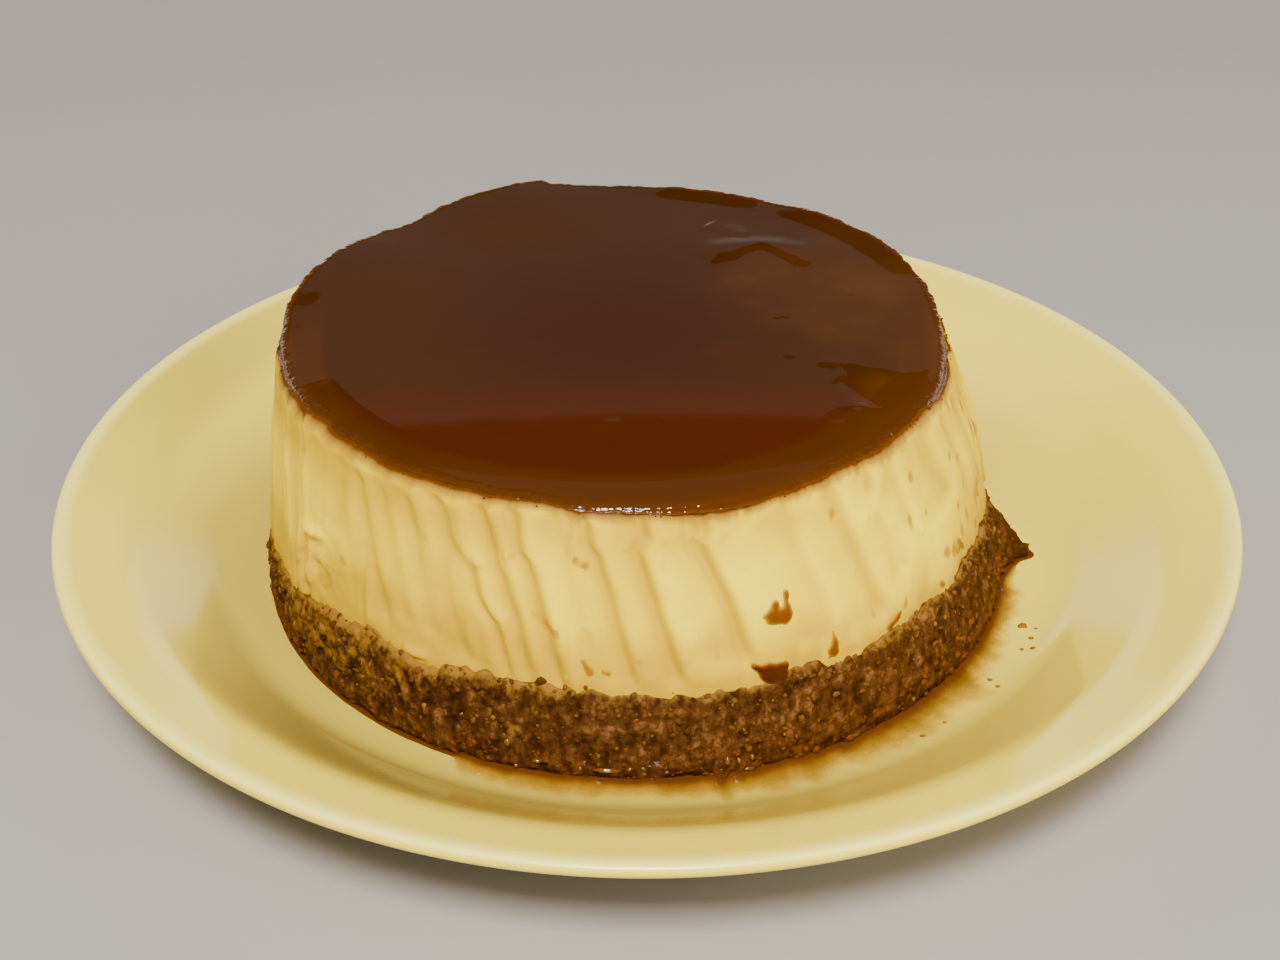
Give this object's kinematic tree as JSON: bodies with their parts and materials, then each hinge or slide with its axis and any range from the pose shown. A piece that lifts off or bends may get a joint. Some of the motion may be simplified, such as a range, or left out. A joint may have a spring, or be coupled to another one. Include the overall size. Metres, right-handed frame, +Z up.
{
  "type": "flan cake",
  "caption": "Round flan cake of brown sponge, set custard and a dark caramel cap, with syrup at its foot, on a cream dinner plate.",
  "frame": {"origin": "on the table, under the middle of the plate's foot ring", "axes": "+Z up; +Y away from the viewer of the picture; +X to that viewer's right"},
  "size_m": [0.2698, 0.2698, 0.066],
  "materials": {
    "glaze": "smooth glossy cream glaze",
    "sponge": "open brown crumb, moist and darker towards the plate",
    "custard": "moist pale yellow custard with a soft sheen",
    "caramel": "wet, nearly mirror-smooth dark caramel",
    "syrup": "thin wet amber syrup"
  },
  "bodies": {
    "root": {"plate": "glaze", "sponge": "sponge", "custard": "custard", "caramel_top": "caramel", "syrup_pool": "syrup"}
  },
  "joints": []
}
